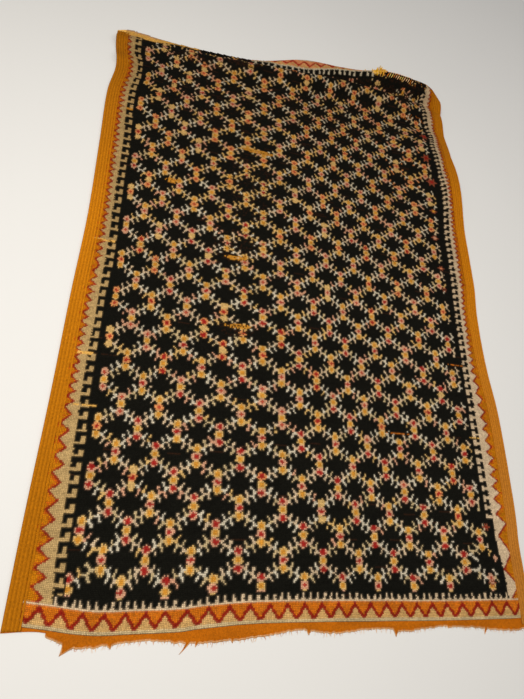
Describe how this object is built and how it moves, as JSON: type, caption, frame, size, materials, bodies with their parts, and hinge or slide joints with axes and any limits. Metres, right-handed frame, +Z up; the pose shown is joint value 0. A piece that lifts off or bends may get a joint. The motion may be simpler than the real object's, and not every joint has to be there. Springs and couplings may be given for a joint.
{
  "type": "moroccan rug",
  "caption": "Hand-woven wool rug lying on a floor, with a rucked far end, corded side edges and a frayed plain-woven lower end.",
  "frame": {"origin": "middle of the box of all built, on the floor", "axes": "X across the rug, +Y along it from the frayed lower end towards the rucked far end, +Z up from the floor"},
  "size_m": [1.472, 2.307, 0.0791],
  "materials": {
    "rug_cloth": "short black wool pile with a cream and yellow lattice",
    "lower_fray": "orange plain weave, torn and frayed",
    "end_tuft": "loose yellow wool yarn"
  },
  "bodies": {
    "root": {"rug_cloth": "rug_cloth", "lower_fray": "lower_fray", "end_tuft": "end_tuft"}
  },
  "joints": []
}
